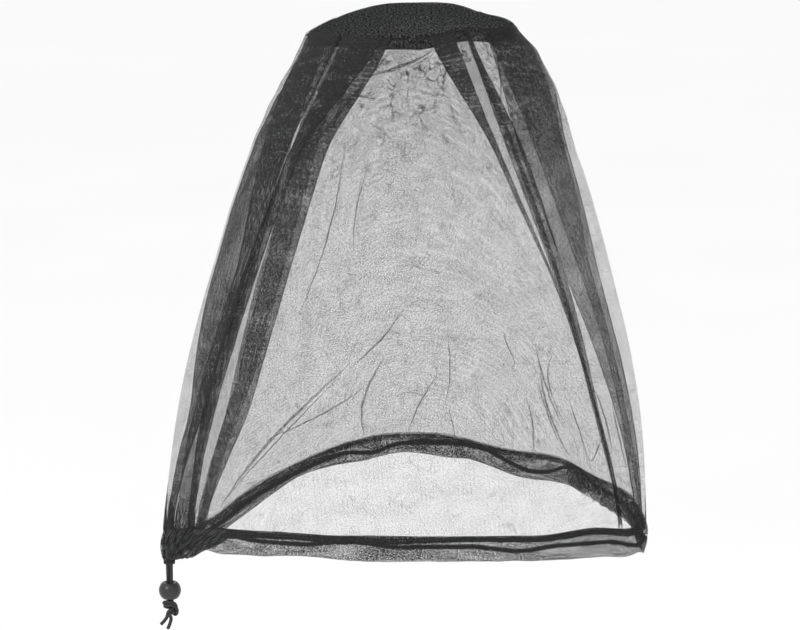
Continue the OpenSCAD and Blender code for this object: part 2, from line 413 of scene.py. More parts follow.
# ---- the cord's hanging ends

neck_low, neck_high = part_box("cord_exit_neck")
knot_low, knot_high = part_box("end_knot")
EXIT = Vector(((neck_low.x + neck_high.x) / 2, 0, neck_high.z - 2.5 * MM))
CORD_R = 1.3 * MM
KNOT_MID = (knot_low.z + knot_high.z) / 2 - EXIT.z
KNOT_FOOT = knot_low.z - EXIT.z

# The routes' points in millimetres: across, back and up. Up is from the exit for the strands,
# from the knot's foot for the tails and from its middle for the knot. The outer end's strand
# mirrors the inner end's.
STRAND = [(1.3, 0, z) for z in (0, -4, -9, -14, -19, -24)]
TAIL_OUTER = [(-2.8, 0, -0.6), (-3.8, 0, -2), (-5.4, 0, -4), (-7, 0, -5.6)]
TAIL_INNER = [(0.4, 0, -0.6), (0.1, 0, -3), (-0.8, 0, -6), (-2.2, 0, -9)]
# The two strands turn a little round each other: one radian in this many millimetres.
STRAND_TWIST = 30
ROUTE_STEP = 0.35 * MM
BRAID_PITCH = 3.2 * MM
# One turn round the standing part and under itself.
KNOT = [(0.8, 0.6, -0.5), (2.4, 1.0, -4.2), (4.3, -0.4, -3.2), (4.6, -1.2, 0.4),
        (2.6, -2.9, 3.4), (-1.2, -3.6, 4.4), (-4.2, -1.4, 3.2), (-3.6, 2.4, 1.2),
        (0.2, 3.7, 0.0), (3.3, 2.4, -1.2), (2.0, -2.2, -1.6), (-1.0, -3.0, -3.4)]


def hanging_end(name, side, tail, nodes):
    """One end of the drawcord: down from the hem, through the bead and the knot."""
    down = [(side * x * math.cos(z / STRAND_TWIST), y + side * x * math.sin(z / STRAND_TWIST), z)
            for x, y, z in STRAND]
    # The outer end's turn lies 2.4 mm above the inner end's.
    knot = [(x + side * (1.2 if i == 0 else 0.3), y, z + KNOT_MID / MM - side * 1.2)
            for i, (x, y, z) in enumerate(KNOT)]
    foot = [(x, y, z + KNOT_FOOT / MM) for x, y, z in tail]
    route = np.array(down + knot + foot) * MM + np.array(EXIT)
    line = eased(spline(route, ROUTE_STEP))
    made = tube(name, line, CORD_R, CORD, 20, 0.12 * MM, BRAID_PITCH)
    place_on(made, "cord_ends", "cord", *nodes)
    return made, line


outer_end, outer_line = hanging_end(
    "cord_end_outer", -1, TAIL_OUTER, ["cord_strand_outer", "cord_tail_outer", "end_knot"])
inner_end, inner_line = hanging_end(
    "cord_end_inner", 1, TAIL_INNER, ["cord_strand_inner", "cord_tail_inner"])


def make_bead():
    """A turned bead, round outside, with softened rims round its hole."""
    low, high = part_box("stopper_bead")
    centre, half_h = (low + high) / 2, (high.z - low.z) / 2
    radius, hole, rim = (high.x - low.x) / 2, 3 * MM, 1.1 * MM
    top = math.acos((half_h - rim * 0.2) / radius) if half_h < radius else 0
    profile = []
    for i in range(33):
        a = top + (math.pi - 2 * top) * i / 32
        profile.append((radius * math.sin(a), radius * math.cos(a)))
    corner = profile[0][0]
    lip = [(corner + (hole - corner) * k, half_h - rim * 0.35 * k**3) for k in (0.2, 0.5, 0.8)]
    bore = [(hole, half_h - rim), (hole, 0), (hole, -half_h + rim)]
    ring = profile + [(x, -z) for x, z in lip] + bore[::-1] + lip[::-1]
    sides = 64
    angle = np.linspace(0, 2 * math.pi, sides, endpoint=False)
    points = np.array([[(x * math.cos(a) + centre.x, x * math.sin(a) + centre.y, z + centre.z)
                        for x, z in ring + ring[:1]] for a in angle])
    points = points.transpose(1, 0, 2)
    uv = np.stack(np.meshgrid(np.linspace(0, 1, sides + 1), np.linspace(0, 1, len(ring) + 1)), -1)
    made = grid("bead", points, uv, BEAD, wrap=True)
    merge_close(made)
    return place_on(made, "bead", "bead", "stopper_bead")


def merge_close(piece):
    """Join the points that lie on each other, and turn every face outwards."""
    shape = bmesh.new()
    shape.from_mesh(piece.data)
    bmesh.ops.remove_doubles(shape, verts=shape.verts, dist=1e-6)
    bmesh.ops.recalc_face_normals(shape, faces=shape.faces)
    shape.to_mesh(piece.data)
    shape.free()


bead = make_bead()

# ---- the veil's surface


def smooth(x, low, high):
    """0 up to low and 1 from high on, with a smooth step between."""
    t = np.clip((np.asarray(x, float) - low) / (high - low), 0, 1)
    return t * t * (3 - 2 * t)


def bump_at(t, middle, half):
    """1 at the middle angle, 0 at half degrees from it, smoothly."""
    off = np.abs((np.asarray(t) - middle + 180) % 360 - 180)
    return 1 - smooth(off, 0, half)


def flared(at_hem, f):
    """Half the width at level f of a side that is this wide at the hem."""
    return CROWN_R + (at_hem - CROWN_R) * (1 - (1 - np.clip(f, 0, 1)) ** FLARE)


# Each line runs level but for a few swells: (middle angle, half width in degrees, height in
# millimetres). The crown's edge droops at both sides, and the casing is pulled up and twisted
# beside its bunches.
RIM_SWELLS = [(165, 70, -11), (6, 34, -8), (40, 30, -6), (298, 26, 4)]
CASING_TOP_SWELLS = [(15, 26, 13), (64, 20, -7), (149, 22, -6.5), (184, 26, 4), (320, 18, 3)]
CASING_FOOT_SWELLS = [(18, 20, 8), (60, 16, -8), (90, 12, 3.5), (117, 20, 7), (149, 16, -5),
                      (213, 8, 3), (246, 14, 2), (336, 14, -2.4)]
CORD_SWELLS = [(20, 24, 8), (44, 9, 5), (58, 16, -12), (98, 8, -5), (150, 24, -8), (222, 14, 3),
               (257, 12, 4), (298, 12, -3.5), (345, 20, -5.5)]
EDGE_SWELLS = [(134, 34, 7), (85, 20, 1.5), (262, 20, 1.5)]
CORD_LEVEL = 11 * MM


def swell(swells, t):
    """The height in metres at angle t that the swells add up to."""
    return sum(height * MM * bump_at(t, middle, half) for middle, half, height in swells)


def rim_height(t):
    """The crown's edge over the crown's flat top."""
    return swell(RIM_SWELLS, t)


def casing_top(t):
    return CASING_H + swell(CASING_TOP_SWELLS, t)


def casing_foot(t):
    return swell(CASING_FOOT_SWELLS, t)


def cord_height(t):
    return CORD_LEVEL + swell(CORD_SWELLS, t)


def rise_at(t):
    """The hem's height at angle t over its height at the two corners."""
    sine, double = np.sin(np.radians(t)), np.sin(2 * np.radians(t))
    skew = double * np.abs(double)
    return np.where(sine > 0, BACK_RISE * sine**2 + BACK_SKEW * skew,
                    FRONT_RISE * np.abs(sine) + FRONT_SKEW * skew)


def ring(f, t, n=0.0):
    """A point's place across: x and y at level f, n outside the surface."""
    sine, cosine = np.sin(np.radians(t)), np.cos(np.radians(t))
    reach = flared(np.where(sine > 0, HEM_BACK, HEM_FRONT), f) + n
    x = LEAN * f * f + (flared(HEM_HW, f) + n) * cosine
    return x, reach * sine * np.abs(sine) ** (PINCH * f)


# The wearer's left side stands out a little just under the crown.
SHOULDER = 6.5 * MM


def surface(f, t):
    """The veil's surface at level f, from 0 at the crown to 1 at the casing, and angle t:
    0 the wearer's left, 90 the back, 180 the wearer's right and 270 the front."""
    f, t = np.broadcast_arrays(np.asarray(f, float), np.asarray(t, float))
    x, y = ring(f, t)
    x = x + SHOULDER * bump_at(t, 0, 55) * smooth(f, 0, 0.05) * (1 - smooth(f, 0.08, 0.26))
    z = NET_TOP + (-DROP + CASING_H - NET_TOP) * f + rise_at(t) * f**3
    z = z + rim_height(t) * (1 - smooth(f, 0, 0.25))
    z = z + (casing_top(t) - CASING_H) * smooth(f, 0.8, 1) ** 2
    return np.stack([x, y, z], -1)


def outward(f, t):
    """Unit normals of the surface."""
    f, t = np.asarray(f, float), np.asarray(t, float)
    turn, step = 0.6, 0.004
    along = surface(f, t + turn) - surface(f, t - turn)
    high, low = np.clip(f - step, 0, 1), np.clip(f + step, 0, 1)
    down = surface(low, t) - surface(high, t)
    return unit(np.cross(down, along))


def noise_on(points, scale, seed=0.0):
    """Smooth noise from -1 to 1 at points, its lumps about 1 / scale across."""
    flat = np.asarray(points, float).reshape(-1, 3) * scale
    values = [noise.noise(Vector((x + seed, y - seed, z + 2 * seed))) for x, y, z in flat]
    return np.array(values).reshape(np.shape(points)[:-1])


# ---- pleats

# The levels at which the folds' angles are given, from the crown to the casing.
STATIONS = [0, 0.2, 0.5, 0.75, 1]
# Shares that the threads hide of the cloth: (below, at the crown).
BACK_PANEL, FRONT_PANEL = (0.32, 0.42), (0.245, 0.38)
OPEN_NET = (0.28, 0.40)
# Each fold's name, its angle at the stations, in order along the cloth from the middle of the
# back, and the share hidden of the cloth from this fold to the next. Two folds make a pleat.
FOLDS = [
    ("back_inner_small", [131, 138, 138, 141, 152], (0.40, 0.55)),
    ("back_outer_small", [100, 125, 129, 134, 148], OPEN_NET),
    ("back_inner_main", [168, 160, 151, 159, 166], (0.55, 0.62)),
    ("back_outer_main", [137, 137, 141, 147, 155], OPEN_NET),
    ("corner", [180, 180, 180, 180, 180], OPEN_NET),
    ("front_outer_side", [229, 219, 213, 208, 194], (0.76, 0.76)),
    ("front_inner_side", [200, 182, 184, 199, 186], (0.32, 0.42)),
    ("front_outer_main", [256, 225, 217, 212, 208], (0.72, 0.78)),
    ("front_inner_main", [231, 219, 209, 205, 205], (0.45, 0.46)),
    ("front_outer_small", [260, 236, 230, 225, 212], (0.55, 0.74)),
    ("front_inner_small", [240, 222, 217, 216, 208], FRONT_PANEL),
    ("left_inner_short", [292, 304, 318, 326, 335], (0.60, 0.80)),
    ("left_outer_short", [278, 301, 317, 325, 334], (0.28, 0.50)),
    ("left_inner_seam", [301, 316, 322, 326, 336], (0.54, 0.66)),
    ("left_outer_seam", [299, 307, 317, 325, 335], OPEN_NET),
    ("left_inner_main", [370, 346, 340, 346, 352], (0.52, 0.46)),
    ("left_outer_main", [313, 312, 321, 333, 345], (0.22, 0.40)),
    ("left_corner", [360, 360, 360, 360, 360], (0.22, 0.40)),
    ("behind_outer_main", [410, 404, 395, 385, 373], (0.22, 0.64)),
    ("behind_inner_main", [372, 376, 387, 380, 368], BACK_PANEL),
]
START, FINISH = 90, 450
ROWS = 128
# The width of a column of the net's mesh.
COLUMN = 2.8 * MM
# How many layers under the outermost one the surface itself lies, and the back panel's level.
LAYER_ZERO = 3
BACK_LEVEL = -4
# How much more the threads hide right along a fold, where the net turns edge on.
FOLD_LINE = 0.24


def fold_angle(angles, f):
    """A fold's angle at each level, with its corners at the stations eased."""
    fine, reach = np.linspace(-0.1, 1.1, 241), 16
    plain = np.interp(fine, STATIONS, angles)
    window = np.hanning(2 * reach + 1)
    soft = np.convolve(np.pad(plain, reach, mode="edge"), window / window.sum(), "valid")
    return np.interp(f, fine, soft)


def layer_gap(f):
    """The distance between two layers of a pleat: tight at the seams, loose between."""
    return (0.3 + 0.75 * smooth(f, 0, 0.2) - 0.4 * smooth(f, 0.8, 1)) * MM


def fold_levels(names):
    """How deep the layer after each fold lies: a corner is outermost, at 0."""
    corners = [i for i, name in enumerate(names) if name.endswith("corner")]
    depth = [-min(abs(i - c) - (1 if i < c else 0) for c in corners) for i in range(len(names))]
    depth[0], depth[-1] = BACK_LEVEL, BACK_LEVEL
    return depth


def cloth_columns(f):
    """The cloth's columns on every row: angle, layer level and cover, and the stretch
    between two folds that each column lies in."""
    names = ["start", *[fold[0] for fold in FOLDS], "finish"]
    angles = [np.full_like(f, START), *[fold_angle(fold[1], f) for fold in FOLDS],
              np.full_like(f, FINISH)]
    covers = [BACK_PANEL, *[fold[2] for fold in FOLDS]]
    levels = fold_levels(names)
    towards_crown = 1 - smooth(f, 0.02, 0.45)
    angle, level, cover, stretch = [], [], [], []
    for k in range(len(names) - 1):
        a, b = angles[k], angles[k + 1]
        ends = surface(f, a) - surface(f, b)
        count = max(int(np.linalg.norm(ends, axis=-1).max() / COLUMN), 3)
        share = np.linspace(0, 1, count, endpoint=False)
        # Columns crowd towards the folds, where the cloth turns sharply.
        share = share - 0.12 * np.sin(2 * np.pi * share)
        fold = names[k] != "start" and not names[k].endswith("corner")
        start, finish = levels[k], levels[k]
        if names[k] == "front_inner_small":
            finish = levels[k + 1] + 1
        if names[k] == "behind_inner_main":
            finish = BACK_LEVEL
        before = levels[k - 1] if k else BACK_LEVEL
        below, at_crown = covers[k]
        for i, x in enumerate(share):
            angle.append(a + (b - a) * x)
            at_fold = fold and i == 0
            here = (before + start) / 2 if at_fold else start + (finish - start) * x
            level.append(np.full_like(f, here))
            cover.append(below + (at_crown - below) * towards_crown + FOLD_LINE * at_fold)
            stretch.append(k)
    return np.array(angle).T, np.array(level).T, np.array(cover).T, np.array(stretch)


# The angles from and to which the hem is bunched, at the cord's corner and at the other.
BUNCH_LEFT = (150, 212)
BUNCH_RIGHT = (-6, 44)


def bunched(t):
    """1 where the drawcord bunches the hem, 0.4 at the far corner, 0 away from both."""
    t = (np.asarray(t) + 90) % 360 - 90
    (left_from, left_to), (right_from, right_to) = BUNCH_LEFT, BUNCH_RIGHT
    left = smooth(t, left_from - 6, left_from + 6) * (1 - smooth(t, left_to - 6, left_to + 6))
    right = (smooth(t, right_from - 4, right_from + 4)
             * (1 - smooth(t, right_to - 6, right_to + 6)))
    return left + 0.4 * right


def drape(points, normal, f):
    """The points, moved by loose waves over the whole net and by crumples near the crown."""
    loose = smooth(f, 0, 0.08) * (1 - smooth(f, 0.93, 1))
    tall = points * (1, 1, 0.3)
    wave = 1.3 * MM * noise_on(tall, 22) + 0.7 * MM * noise_on(tall, 60, 3.0)
    crumple = 0.8 * MM * noise_on(points, 75, 7.0) * (1 - smooth(f, 0.15, 0.4))
    return points + normal * ((wave + crumple) * loose)[..., None]


# The stretches' metres are shifted by this, so that their holes and grain differ.
STRETCH_SHIFT = 0.37


def make_net():
    """The whole net in one sheet, and how wide the cloth is half way down."""
    f = np.linspace(0, 1, ROWS + 1)
    angle, level, cover, stretch = cloth_columns(f)
    ff = np.repeat(f[:, None], angle.shape[1], 1)
    base, normal = surface(ff, angle), outward(ff, angle)
    depth = (level + LAYER_ZERO) * layer_gap(ff)
    points = base + normal * depth[..., None]
    step = np.linalg.norm(np.roll(points, -1, 1) - points, axis=2)
    points = drape(points, normal, ff)
    # The cloth's own metres: across from the middle of each stretch, so that the holes
    # keep their shape, and down from the crown.
    left = np.zeros_like(step)
    for k in range(stretch[-1] + 1):
        own = np.flatnonzero(stretch == k)
        far = np.cumsum(step[:, own], 1)
        left[:, own] = far - step[:, own] - far[:, -1:] / 2 + STRETCH_SHIFT * k
    v = np.repeat(((NET_TOP - NET_BOTTOM) * f)[:, None], angle.shape[1], 1)
    # Above a bunch the cloth is packed into fine gathers, which show as streaks.
    pull = bunched(angle) * smooth(ff, 0.88, 1.0)
    phase = np.cumsum(step[ROWS // 2]) / (4.6 * MM) * 2 * np.pi + 3 * noise_on(base, 30, 11.0)
    points = points + normal * (pull * 1.3 * MM * np.sin(phase))[..., None]
    cover = cover + pull * (0.12 + 0.1 * np.sin(phase * 0.5 + 1))
    cover = cover + 0.05 * (1 - smooth(ff, 0, 0.05))
    net = grid("net_tube", points, np.stack([left, v], -1), NET, cover, wrap=True,
               uv_right=np.stack([left + step, v], -1))
    give_attribute(net, "crumple", 0.18 + 0.82 * (1 - smooth(ff, 0.08, 0.3)))
    return place_on(net, "veil", "net", "veil_net"), float(step[ROWS // 2].sum())


net, CLOTH_WIDTH = make_net()

# ---- creases in the panels

# Sharp creases: width in millimetres, first and last (level, angle), and how many degrees the
# crease bows out sideways between them.
CREASES = [
    (2.2, (0.03, 281), (0.08, 247), 2),
    (3.0, (0.03, 259), (0.24, 225), -2),
    (2.4, (0.10, 238), (0.20, 234), 1),
    (1.0, (0.04, 279), (0.06, 269), 0),
    (1.2, (0.12, 258), (0.11, 238), -1),
    (0.9, (0.05, 252), (0.08, 240), 2),
    (0.9, (0.08, 271), (0.14, 269), -2),
    (1.1, (0.20, 243), (0.55, 236), 3),
    (0.9, (0.24, 254), (0.42, 252), -2),
    (2.2, (0.95, 219), (0.63, 254), -2),
    (1.2, (0.80, 232), (0.68, 258), 2),
    (1.4, (0.64, 254), (0.53, 267), 1),
    (1.0, (0.57, 280), (0.72, 279), 1),
    (1.0, (0.57, 296), (0.64, 299), 0),
    (1.3, (0.60, 306), (0.77, 312), -1),
    (1.1, (0.80, 328), (0.86, 321), 0),
    (1.2, (0.70, 326), (0.84, 332), 1),
    (1.9, (0.99, 100), (0.77, 96), 3),
    (1.3, (0.99, 89), (0.82, 82), 1),
    (0.9, (0.91, 79), (1.00, 77), 0),
    (1.4, (0.86, 58), (1.00, 56), -1),
    (2.2, (0.78, 53), (0.98, 45), 2),
    (1.2, (0.72, 48), (0.88, 47), 3),
    (1.1, (0.83, 44), (0.96, 38), 0),
    (1.2, (0.80, 54), (0.97, 47), 1),
    (1.0, (0.93, 221), (0.66, 251), 0),
    (1.8, (0.70, 338), (0.92, 344), 1),
    (1.3, (0.74, 335), (0.88, 341), -1),
    (1.4, (0.82, 340), (0.98, 347), 0),
    (1.0, (0.05, 316), (0.16, 309), 1),
]


def make_creases():
    """Each crease is a narrow fold of the net that stands up from the panel."""
    points, faces, uv, cover = [], [], [], []
    for width, (f_first, t_first), (f_last, t_last), bow in CREASES:
        share = np.linspace(0, 1, 40)
        f = f_first + (f_last - f_first) * share
        t = t_first + (t_last - t_first) * share + bow * np.sin(np.pi * share)
        base, normal = surface(f, t), outward(f, t)
        side = unit(np.cross(normal, np.gradient(base, axis=0)))
        taper = np.sin(np.pi * np.linspace(0.06, 0.97, len(f))) ** 0.6
        wobble = 0.6 * MM * noise_on(base, 160, 5.0)
        front = np.where(np.sin(np.radians(t)) < 0, 1, -1)
        out = (-3 * layer_gap(f) + drape_depth(base, normal, f)) + 0.5 * MM * front
        first = len(points)
        for across, lift in ((-0.5, 0.0), (-0.1, 0.9), (0.3, 0.5), (0.5, 0.0)):
            shift = across * width * MM * taper + wobble
            up = out + front * lift * MM * taper
            points.extend(base + side * shift[:, None] + normal * up[:, None])
        n = len(f)
        far = run_of(base)
        for strip in range(3):
            for i in range(n - 1):
                a = first + strip * n + i
                faces.append((a, a + 1, a + n + 1, a + n))
                uv.extend([(far[i], strip * MM), (far[i + 1], strip * MM),
                           (far[i + 1], strip * MM + MM), (far[i], strip * MM + MM)])
        cover.extend(np.tile(0.15 + 0.42 * taper, 4))
    made = link_mesh("net_creases", points, faces, NET)
    give_uv(made, uv)
    give_attribute(made, "weave", weave_of(np.array(cover)))
    return place_on(made, "veil", "net")


def drape_depth(points, normal, f):
    """How far outwards the drape moves each point."""
    return ((drape(points, normal, f) - points) * normal).sum(-1)


creases = make_creases()

# ---- the hem


def hem_place(t, n, height):
    """A point of the hem: n outside the net's surface, height over the hem line."""
    x, y = ring(np.ones_like(t), t, n)
    return np.stack([x, y, -DROP + rise_at(t) + height], -1)


def hem_line(t):
    return hem_place(t, 0 * t, 0 * t)


def cloth_length(t):
    return run_of(hem_line(t))


COLUMNS_PER_DEGREE = 2.2
# The casing's section: n in millimetres, and the share of its height.
CASING_SECTION = [(0.3, 1.0), (1.0, 0.86), (1.7, 0.66), (2.0, 0.44), (1.8, 0.24), (1.2, 0.09),
                  (0.5, 0.01), (-0.5, 0.01), (-1.2, 0.09), (-1.8, 0.24), (-2.0, 0.44),
                  (-1.7, 0.66), (-1.0, 0.86), (-0.5, 1.0)]


def make_casing(name, first, last, hidden, node):
    """A length of casing: down outside, round the fold and up inside."""
    t = np.linspace(first, last, int((last - first) * COLUMNS_PER_DEGREE))
    top, foot = casing_top(t), casing_foot(t)
    place = hem_line(t)
    rows, v = [], [0.0]
    for n, share in CASING_SECTION:
        bulge = n * MM * (1 + 0.5 * noise_on(place, 45, 2.0 + share))
        height = foot + (top - foot) * share + 0.5 * MM * noise_on(place, 90, 4.0)
        rows.append(hem_place(t, bulge, height))
    for above, row in zip(rows, rows[1:]):
        v.append(v[-1] + np.linalg.norm(row - above, axis=1).mean())
    points = np.array(rows)
    uv = np.stack(np.meshgrid(cloth_length(t), v), -1)
    cover = hidden + 0.08 * noise_on(points, 60, 9.0) + 0.12 * (np.array(v)[:, None] < 2 * MM)
    made = grid(name, points, uv, NET_HEM, cover)
    return place_on(made, "veil", "net", node)


casing_front = make_casing("casing_net_front", 205, 359, 0.54, "hem_casing_front")
casing_back = make_casing("casing_net_back", 40, 168, 0.60, "hem_casing_back")


def make_turned_edge(name, first, last, hidden):
    """The casing's dark upper edge, where the net is turned under and sewn down."""
    t = np.linspace(first, last, int((last - first) * COLUMNS_PER_DEGREE))
    place = hem_line(t)
    top = casing_top(t) + 0.9 * MM * noise_on(place, 24, 8.0)
    uneven = 1.6 * noise_on(place, 16, 2.0) + 0.5 * noise_on(place, 70, 6.0)
    thick = (4.6 + uneven) * MM + swell(EDGE_SWELLS, t)
    section = [(0.9, 0.0), (1.2, 0.5), (0.8, 1.0), (0.0, 1.1), (-0.8, 1.0), (-1.2, 0.5),
               (-0.9, 0.0), (-0.3, 0.1), (-0.4, 0.8), (0.3, 0.8), (0.3, 0.05)]
    rows = []
    for n, share in section:
        ripple = 0.3 * MM * noise_on(place, 260, n + share)
        rows.append(hem_place(t, n * MM + ripple, top - thick * (1 - share) + 0.8 * MM + ripple))
    points = np.array(rows)
    v = np.arange(len(section)) * 1.6 * MM
    uv = np.stack(np.meshgrid(cloth_length(t), v), -1)
    cover = hidden + 0.1 * noise_on(points, 110, 3.0) - 0.14 * smooth(t, 136, 150)
    made = grid(name, points, uv, NET_DENSE, cover)
    return place_on(made, "veil", "gathered_net")


edge_front = make_turned_edge("hem_turned_edge_front", 200, 366, 0.92)
edge_back = make_turned_edge("hem_turned_edge_back", 20, 160, 0.34)
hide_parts("hem_turned_edge")


def make_bunch():
    """Net drawn up on the cord at its exit: walls of folds that run in to the exit."""
    at_top = np.linspace(146, 227, 170)
    ends = smooth(at_top, 146, 152) * (1 - smooth(at_top, 219, 227))
    layers, lengths = [], []
    # Each wall's millimetres outside the hem line.
    for wall, out in enumerate((4.2, 2.2, 0.4, -1.6, -3.6)):
        rows = []
        for share in np.linspace(0, 1, 15):
            t = 180 + (at_top - 180) * (0.6 + 0.4 * share**0.6)
            place = hem_line(at_top)
            phase = 2 * np.pi * (at_top / 5.2 + 0.3 * wall)
            phase = phase + 3.4 * noise_on(place + (0, 0, share * 0.02), 70, 1.0 + wall)
            gather = np.sin(phase)
            belly = np.sin(np.pi * np.clip(share * 0.8 + 0.12, 0, 1))
            n = (out * (0.25 + 0.75 * belly) + (0.6 + 1.3 * (1 - share)) * gather) * ends
            top, foot = casing_top(t) + 0.9 * MM, casing_foot(t)
            ragged = (0.9 + 0.8 * noise_on(place, 90, 4.0 + wall)) * MM * (1 - share) ** 2
            sag = 2.4 * MM * (1 - share) ** 2 * smooth(at_top, 184, 200)
            height = foot + (top - foot) * share + ragged * (gather + 0.3) - sag
            rows.append(hem_place(t + 0.5 * gather, n * MM, height))
        layers.append(np.array(rows)[:: -1 if wall % 2 else 1])
        lengths.append(np.linspace(0, 22 * MM, 15) + wall * 24 * MM)
    points = np.concatenate(layers)
    uv = np.stack(np.meshgrid(cloth_length(at_top) * 1.5, np.concatenate(lengths)), -1)
    cover = 0.46 + 0.26 * noise_on(points * (1, 1, 0.4), 150, 1.0)
    made = grid("hem_bunch_left", points, uv, NET_BUNCHED, np.clip(cover, 0.2, 0.95))
    place_on(made, "veil", "gathered_net", "gather_left")


make_bunch()


def make_twist():
    """The far corner's casing, twisted along the cord: bands of pulled net round it."""
    t = np.linspace(46, 0, 120)
    along = np.linspace(0, 1, len(t))
    place = hem_line(t)
    top, foot = casing_top(t) + 0.8 * MM, casing_foot(t)
    ends = 0.35 + 0.65 * smooth(along, 0, 0.12) * (1 - smooth(along, 0.9, 1))
    rows, down = [], []
    for band in range(6):
        band_rows = []
        for across in np.linspace(-0.5, 0.5, 11):
            turn = 2 * np.pi * (band / 3 + 0.55 * along + 0.34 * across)
            turn = turn + 0.8 * noise_on(place, 30, band + 0.5)
            size = (1 - 0.09 * (band // 3) - 0.05 * (band % 3)
                    + 0.1 * noise_on(place + (0, 0, across * 0.03), 90, band + 2.0))
            pucker = 0.5 * np.sin(2 * np.pi * (along * 15 + across * 1.5 + band * 0.4))
            n = ends * (4.6 * size * np.cos(turn) + pucker) * MM
            height = (top + foot) / 2 + (top - foot) / 2 * size * np.sin(turn)
            band_rows.append(hem_place(t, n, height + 0.4 * pucker * MM))
        rows.extend(band_rows[:: -1 if band % 2 else 1])
        down.extend(np.linspace(0, 1, 11) * 26 * MM + band * 30 * MM)
    points = np.array(rows)
    uv = np.stack(np.meshgrid(cloth_length(t) * 0.7, down), -1)
    streak = noise_on(np.stack([uv[..., 0] * 0.12, uv[..., 1], 0 * uv[..., 0]], -1), 500, 3.0)
    cover = 0.28 + 0.1 * noise_on(points, 60, 5.0) + 0.34 * streak
    cover = cover + 0.1 * (smooth(along, 0.3, 0.5) - (1 - smooth(along, 0, 0.12)))[None]
    made = grid("hem_bunch_right", points, uv, NET_BUNCHED, np.clip(cover, 0.1, 0.95))
    place_on(made, "veil", "gathered_net", "gather_right")


make_twist()


def make_hem_cord():
    """The braided drawcord inside the casing, all the way round, and the net that clings
    round it in small puckers."""
    t = np.linspace(0, 360, 700, endpoint=False)
    place = hem_line(t)
    line = hem_place(t, 0.3 * MM * noise_on(place, 60, 8.0), cord_height(t))
    made = tube("hem_drawcord", line, 1.2 * MM, CORD, 14, 0.1 * MM, BRAID_PITCH, closed=True)
    place_on(made, "veil", "cord", "drawcord_loop")
    angle = np.linspace(0, 2 * np.pi, 13)[:-1]
    rows = []
    for a in angle:
        r = (1.75 + 0.55 * noise_on(place + (0, 0, 0.01 * np.sin(a)), 190, 3 + np.cos(a))) * MM
        rows.append(hem_place(t, r * np.cos(a), cord_height(t) + r * np.sin(a)))
    points = np.array(rows).transpose(1, 0, 2)
    points = np.concatenate([points, points[:1]])
    far = np.concatenate([cloth_length(t), cloth_length(t)[-1:]])
    uv = np.stack(np.meshgrid(np.linspace(0, 11 * MM, 13), far), -1)
    cover = 0.55 + 0.25 * noise_on(points, 120, 7.0)
    cling = grid("hem_cord_cling", points, uv, NET_DENSE, np.clip(cover, 0.2, 0.9), wrap=True)
    place_on(cling, "veil", "gathered_net")


make_hem_cord()

STITCH_RADIUS = 0.22 * MM


def make_stitches(name, centres, headings, normals, length, node):
    """A row of short sewn stitches: each is a small bent thread."""
    points, faces = [], []
    sides, stations = 6, 5
    for centre, heading, normal in zip(centres, headings, normals):
        side = np.cross(heading, normal)
        first = len(points)
        for i in range(stations):
            k = i / (stations - 1)
            mid = centre + heading * length * (k - 0.5) + normal * STITCH_RADIUS * 2.2 * (
                math.sin(math.pi * k) - 0.6)
            r = STITCH_RADIUS * (0.45 + 0.55 * math.sin(math.pi * min(max(k, 0.08), 0.92)))
            for j in range(sides):
                a = 2 * math.pi * j / sides
                points.append(mid + r * (math.cos(a) * side + math.sin(a) * normal))
        for i in range(stations - 1):
            for j in range(sides):
                a, b = first + i * sides + j, first + i * sides + (j + 1) % sides
                faces.append((a, b, b + sides, a + sides))
        faces.append(tuple(first + j for j in reversed(range(sides))))
        faces.append(tuple(first + (stations - 1) * sides + j for j in range(sides)))
    made = link_mesh(name, points, faces, THREAD)
    place_on(made, "veil", "thread", node)


def hem_stitches():
    """Two rows, outside and inside the casing, a little below its top."""
    t = np.concatenate([np.linspace(44, 150, 95), np.linspace(214, 352, 112)])
    below, out, step = 1.6 * MM, 1.4, 0.3
    height = casing_top(t) - below
    spots, dirs, outs = [], [], []
    for n in (out, -out):
        centre = hem_place(t, np.full_like(t, n * MM), height)
        ahead = hem_place(t + step, np.full_like(t, n * MM), casing_top(t + step) - below)
        far = hem_place(t, np.full_like(t, 2 * n * MM), height)
        spots.append(centre)
        dirs.append(unit(ahead - centre))
        outs.append(unit(far - centre))
    make_stitches("hem_stitches", np.concatenate(spots), np.concatenate(dirs),
                  np.concatenate(outs), 2.2 * MM, "hem_stitching")


hem_stitches()


def make_funnel():
    """The net drawn down into a funnel, out of which the cord's two ends come. It stops at
    the height about which they swing, so it stays clear of them."""
    a = np.linspace(0, 2 * np.pi, 49)[:-1]
    rows, shares = [], np.linspace(0, 1, 12)
    top = neck_high.z + 3 * MM
    for share in shares:
        pleat = 1 + 0.1 * (1 - 0.4 * share) * np.sin(9 * a + 2 * share)
        wide, deep = (5.3 - 1.6 * share**0.5) * MM, (3.8 - 1.4 * share**0.5) * MM
        height = np.full_like(a, top + (EXIT.z - top) * share)
        rows.append(np.stack([EXIT.x + wide * pleat * np.cos(a),
                              EXIT.y + deep * pleat * np.sin(a), height], -1))
    points = np.array(rows)
    uv = np.stack(np.meshgrid(np.linspace(0, 30 * MM, 49), shares * 8 * MM), -1)
    cover = np.full(points.shape[:2], 0.86)
    made = grid("cord_exit_funnel", points, uv, NET_DENSE, cover, wrap=True)
    place_on(made, "veil", "gathered_net", "cord_exit_neck")


